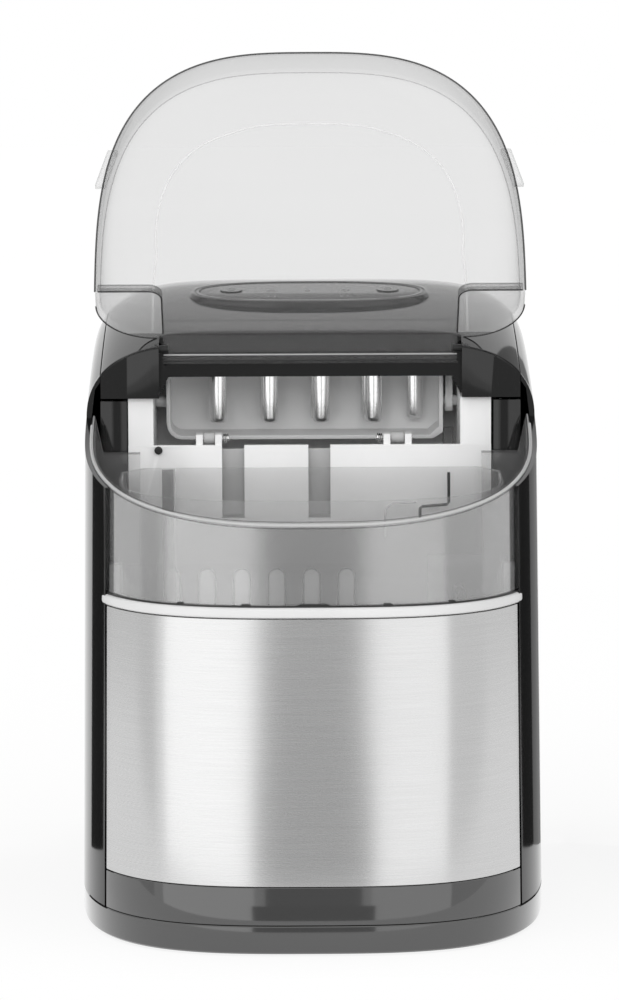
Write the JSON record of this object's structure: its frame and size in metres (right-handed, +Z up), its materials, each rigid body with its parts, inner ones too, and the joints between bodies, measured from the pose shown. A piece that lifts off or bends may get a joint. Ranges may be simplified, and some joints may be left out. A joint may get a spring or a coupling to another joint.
{
  "type": "countertop ice maker",
  "caption": "Countertop ice maker with a smoke-clear hood standing open over a lift-out ice basket, chilled metal fingers, a brushed front and a raised oval key panel.",
  "frame": {"origin": "centre of the footprint, on the table under the feet", "axes": "+Z up, -Y towards the user in front, +X to the user's right"},
  "size_m": [0.2452, 0.34, 0.4513],
  "materials": {
    "black_gloss": "gloss black moulding",
    "brushed_steel": "vertical brushed",
    "chrome": "polished plating",
    "white_plastic": "satin",
    "grey_plastic": "satin",
    "smoke_plastic": "clear smoke-tinted",
    "frosted_plastic": "translucent",
    "black_rubber": "matt",
    "dark_metal": "black enamel",
    "copper": "bare copper",
    "foam": "foam",
    "green_board": "printed board"
  },
  "bodies": {
    "cabinet": {"base_pan": "black_gloss", "compressor": "dark_metal", "compressor_mount_1": "black_rubber", "compressor_mount_2": "black_rubber", "compressor_mount_3": "black_rubber", "condenser": "brushed_steel", "control_bezel": "black_gloss", "control_board": "green_board", "control_overlay": "black_gloss", "discharge_pipe": "copper", "drain_hose": "white_plastic", "evaporator_fingers": "chrome", "evaporator_insulation": "foam", "fan_motor": "dark_metal", "fan_shroud": "grey_plastic", "filter_drier": "copper", "flap_hinge_pin_left": "chrome", "flap_hinge_pin_right": "chrome", "flap_spring_left": "chrome", "flap_spring_right": "chrome", "foot_front_left": "black_rubber", "foot_front_right": "black_rubber", "foot_rear_left": "black_rubber", "foot_rear_right": "black_rubber", "front_panel": "brushed_steel", "front_trim_band": "black_gloss", "front_window": "smoke_plastic", "inner_liner": "white_plastic", "inner_panel_left": "black_gloss", "inner_panel_right": "black_gloss", "left_side_panel": "black_gloss", "lid_hinge_pin_left": "dark_metal", "lid_hinge_pin_right": "dark_metal", "liner_screw": "black_rubber", "power_inlet": "black_rubber", "pump_cover": "smoke_plastic", "rear_panel": "black_gloss", "rear_screw_1": "chrome", "rear_screw_2": "chrome", "rear_screw_3": "chrome", "rear_screw_4": "chrome", "right_side_panel": "black_gloss", "suction_pipe": "copper", "tank_insulation": "foam", "top_cover": "black_gloss", "tray_motor": "white_plastic", "water_pump": "grey_plastic", "water_tube": "frosted_plastic", "window_trim": "white_plastic"},
    "lid": {"lid": "smoke_plastic", "lid_tab_left": "frosted_plastic", "lid_tab_right": "frosted_plastic"},
    "water_tray": {"water_tray": "grey_plastic", "tray_lever": "white_plastic"},
    "ice_flap": {"ice_flap": "grey_plastic"},
    "ice_basket": {"ice_basket": "smoke_plastic"},
    "power_button": {"power_button": "black_gloss"},
    "size_button": {"size_button": "black_gloss"},
    "fan": {"fan_blade": "black_rubber"},
    "drain_cap": {"drain_cap": "black_rubber"}
  },
  "joints": [
    {"name": "lid_hinge", "type": "hinge", "parent": "cabinet", "child": "lid", "pos_m": [0, -0.021, 0.296], "axis": [1, 0, 0], "range_deg": [0, 131]},
    {"name": "tray_pivot", "type": "hinge", "parent": "cabinet", "child": "water_tray", "pos_m": [0, 0.027, 0.262], "axis": [-1, 0, 0], "range_deg": [0, 90]},
    {"name": "flap_hinge", "type": "hinge", "parent": "cabinet", "child": "ice_flap", "pos_m": [0, -0.0145, 0.247], "axis": [1, 0, 0], "range_deg": [0, 45], "stiffness_Nm_per_rad": 0.004},
    {"name": "basket_lift", "type": "slide", "parent": "cabinet", "child": "ice_basket", "axis": [0, 0, 1], "range_m": [0, 0.012]},
    {"name": "power_press", "type": "slide", "parent": "cabinet", "child": "power_button", "axis": [0, 0.0993, -0.9951], "range_m": [0, 0.001], "stiffness_N_per_m": 400},
    {"name": "size_press", "type": "slide", "parent": "cabinet", "child": "size_button", "axis": [0, 0.0993, -0.9951], "range_m": [0, 0.001], "stiffness_N_per_m": 400},
    {"name": "fan_spin", "type": "hinge", "parent": "cabinet", "child": "fan", "pos_m": [-0.0855, 0.094, 0.076], "axis": [1, 0, 0], "continuous": true},
    {"name": "drain_cap_pull", "type": "slide", "parent": "cabinet", "child": "drain_cap", "axis": [0, 1, 0], "range_m": [0, 0.022]}
  ]
}
